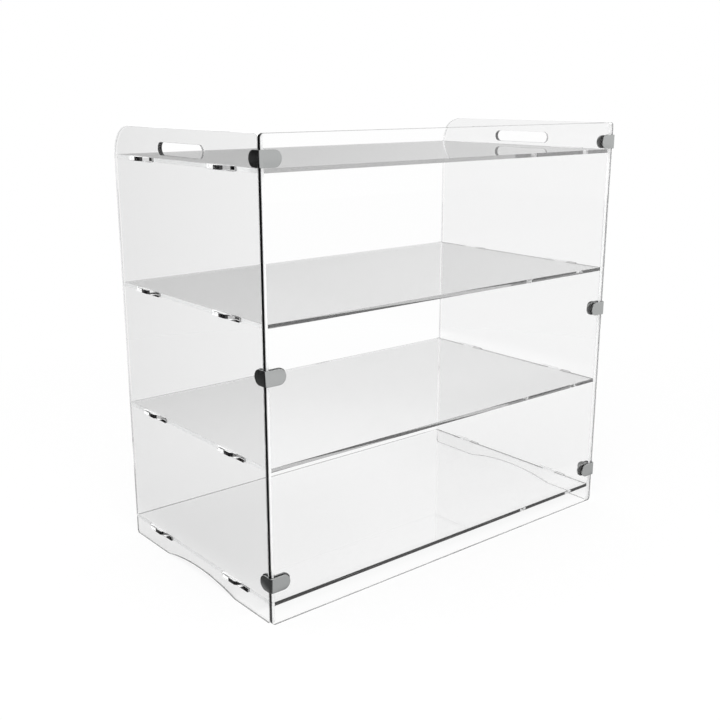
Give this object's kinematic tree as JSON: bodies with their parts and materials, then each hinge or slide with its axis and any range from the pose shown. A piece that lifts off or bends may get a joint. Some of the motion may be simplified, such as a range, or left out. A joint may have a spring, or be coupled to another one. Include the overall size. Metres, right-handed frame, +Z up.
{
  "type": "countertop display cabinet",
  "caption": "Clear acrylic countertop display cabinet with an open back, full-width shelves in keyhole slots, hand slots and metal corner clamps.",
  "frame": {"origin": "middle of the cabinet's footprint, on the counter top, the clamps counted in", "axes": "+X to the right as seen from the front, +Y towards the open back, +Z up"},
  "size_m": [0.6054, 0.344, 0.5735],
  "materials": {
    "panel_acrylic": "clear cast acrylic, polished faces and edges",
    "shelf_acrylic": "clear cast acrylic, polished faces and edges",
    "clamp_metal": "satin bright plating",
    "pad_rubber": "matt soft pad",
    "screw_steel": "plain zinc-plated steel"
  },
  "bodies": {
    "cabinet": {"front_panel": "panel_acrylic", "side_panel_left": "panel_acrylic", "side_panel_right": "panel_acrylic", "clamp_left_bottom_outer_angle": "clamp_metal", "clamp_left_bottom_outer_pad": "pad_rubber", "clamp_left_bottom_inner_pad": "pad_rubber", "clamp_left_bottom_inner_angle": "clamp_metal", "clamp_left_bottom_front_screw": "screw_steel", "clamp_left_bottom_side_screw": "screw_steel", "clamp_left_middle_outer_angle": "clamp_metal", "clamp_left_middle_outer_pad": "pad_rubber", "clamp_left_middle_inner_pad": "pad_rubber", "clamp_left_middle_inner_angle": "clamp_metal", "clamp_left_middle_front_screw": "screw_steel", "clamp_left_middle_side_screw": "screw_steel", "clamp_left_top_outer_angle": "clamp_metal", "clamp_left_top_outer_pad": "pad_rubber", "clamp_left_top_inner_pad": "pad_rubber", "clamp_left_top_inner_angle": "clamp_metal", "clamp_left_top_front_screw": "screw_steel", "clamp_left_top_side_screw": "screw_steel", "clamp_right_bottom_outer_angle": "clamp_metal", "clamp_right_bottom_outer_pad": "pad_rubber", "clamp_right_bottom_inner_pad": "pad_rubber", "clamp_right_bottom_inner_angle": "clamp_metal", "clamp_right_bottom_front_screw": "screw_steel", "clamp_right_bottom_side_screw": "screw_steel", "clamp_right_middle_outer_angle": "clamp_metal", "clamp_right_middle_outer_pad": "pad_rubber", "clamp_right_middle_inner_pad": "pad_rubber", "clamp_right_middle_inner_angle": "clamp_metal", "clamp_right_middle_front_screw": "screw_steel", "clamp_right_middle_side_screw": "screw_steel", "clamp_right_top_outer_angle": "clamp_metal", "clamp_right_top_outer_pad": "pad_rubber", "clamp_right_top_inner_pad": "pad_rubber", "clamp_right_top_inner_angle": "clamp_metal", "clamp_right_top_front_screw": "screw_steel", "clamp_right_top_side_screw": "screw_steel"},
    "bottom_shelf": {"shelf_bottom": "shelf_acrylic"},
    "lower_shelf": {"shelf_lower": "shelf_acrylic"},
    "upper_shelf": {"shelf_upper": "shelf_acrylic"},
    "top_shelf": {"shelf_top": "shelf_acrylic"}
  },
  "joints": [
    {"name": "bottom_shelf_slide", "type": "slide", "parent": "cabinet", "child": "bottom_shelf", "axis": [0, 1, 0], "range_m": [0, 0.0165]},
    {"name": "lower_shelf_slide", "type": "slide", "parent": "cabinet", "child": "lower_shelf", "axis": [0, 1, 0], "range_m": [0, 0.0165]},
    {"name": "upper_shelf_slide", "type": "slide", "parent": "cabinet", "child": "upper_shelf", "axis": [0, 1, 0], "range_m": [0, 0.0165]},
    {"name": "top_shelf_slide", "type": "slide", "parent": "cabinet", "child": "top_shelf", "axis": [0, 1, 0], "range_m": [0, 0.0165]}
  ]
}
